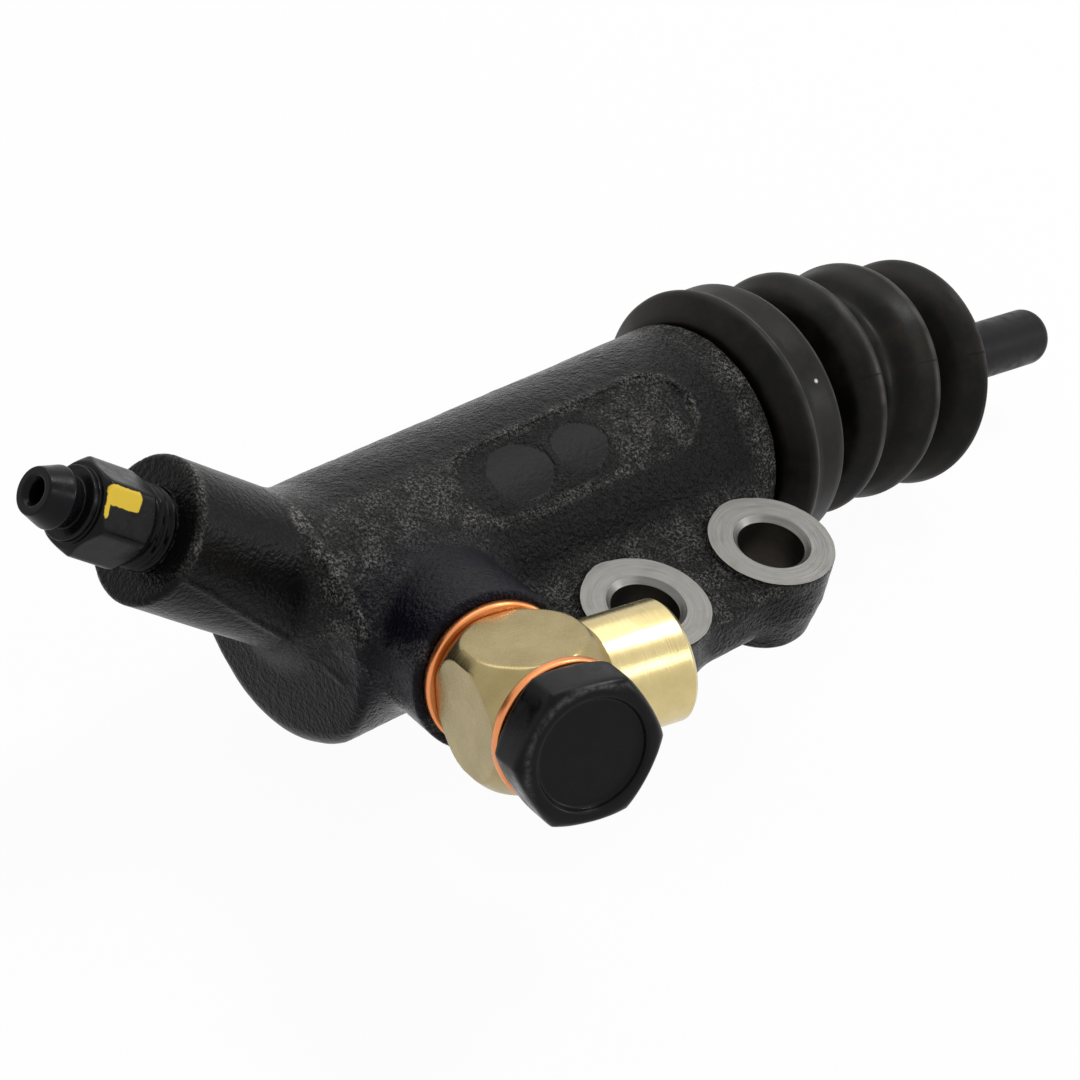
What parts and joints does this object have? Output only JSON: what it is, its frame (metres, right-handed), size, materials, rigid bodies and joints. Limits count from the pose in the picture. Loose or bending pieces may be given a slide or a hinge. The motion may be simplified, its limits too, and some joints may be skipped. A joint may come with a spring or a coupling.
{
  "type": "clutch slave cylinder",
  "caption": "Hydraulic clutch slave cylinder: iron body with a bolt flange, angled bleed screw, brass pipe union on a hollow bolt, and a pushrod in a ribbed rubber boot.",
  "frame": {"origin": "midway between the two mounting holes, on the machined face of their pads; the mount mounting_holes has its point 0.7 mm below it, where the walls of the holes begin under their countersinks", "axes": "+X along the bore towards the pushrod, +Y from the mounting holes towards the bore, +Z out of the machined pads along the mounting bolts"},
  "size_m": [0.1726, 0.0688, 0.0487],
  "materials": {
    "body_casting": "glossy black paint over rough cast iron, machined pads bare",
    "copper": "bright copper washer",
    "brass": "turned brass, satin",
    "bolt_black": "black plated forged steel",
    "bleeder_black": "black plated steel",
    "boot_rubber": "satin black moulded rubber",
    "seal_rubber": "black rubber",
    "rod_steel": "dark phosphated steel",
    "piston_alloy": "machined",
    "spring_steel": "spring steel"
  },
  "bodies": {
    "cylinder": {"cylinder_body": "body_casting", "inner_gasket": "copper", "outer_gasket": "copper", "pipe_union": "brass", "union_bolt": "bolt_black", "valve_plate": "spring_steel", "valve_spring": "spring_steel", "return_spring": "spring_steel", "dust_boot": "boot_rubber"},
    "piston": {"piston": "piston_alloy", "piston_cup": "seal_rubber", "rear_seal": "seal_rubber"},
    "pushrod": {"pushrod": "rod_steel"},
    "bleeder": {"bleed_screw": "bleeder_black"}
  },
  "joints": [
    {"name": "piston_slide", "type": "slide", "parent": "cylinder", "child": "piston", "axis": [1, 0, 0], "range_m": [-0.014, 0], "stiffness_N_per_m": 350, "springref_m": 0.02, "deforming": ["return_spring", "dust_boot"]},
    {"name": "pushrod_swivel", "type": "hinge", "parent": "piston", "child": "pushrod", "pos_m": [0.0195, 0.0244, -0.006], "axis": [0, -0.9655, 0.2605], "range_deg": [-3, 17], "stiffness_Nm_per_rad": 0.6, "deforming": ["dust_boot"]},
    {"name": "bleed_screw_turn", "type": "hinge", "parent": "cylinder", "child": "bleeder", "pos_m": [-0.06323, 0.03146, 0.01153], "axis": [-0.8185, 0.2147, 0.5329], "range_deg": [0, 180]}
  ]
}
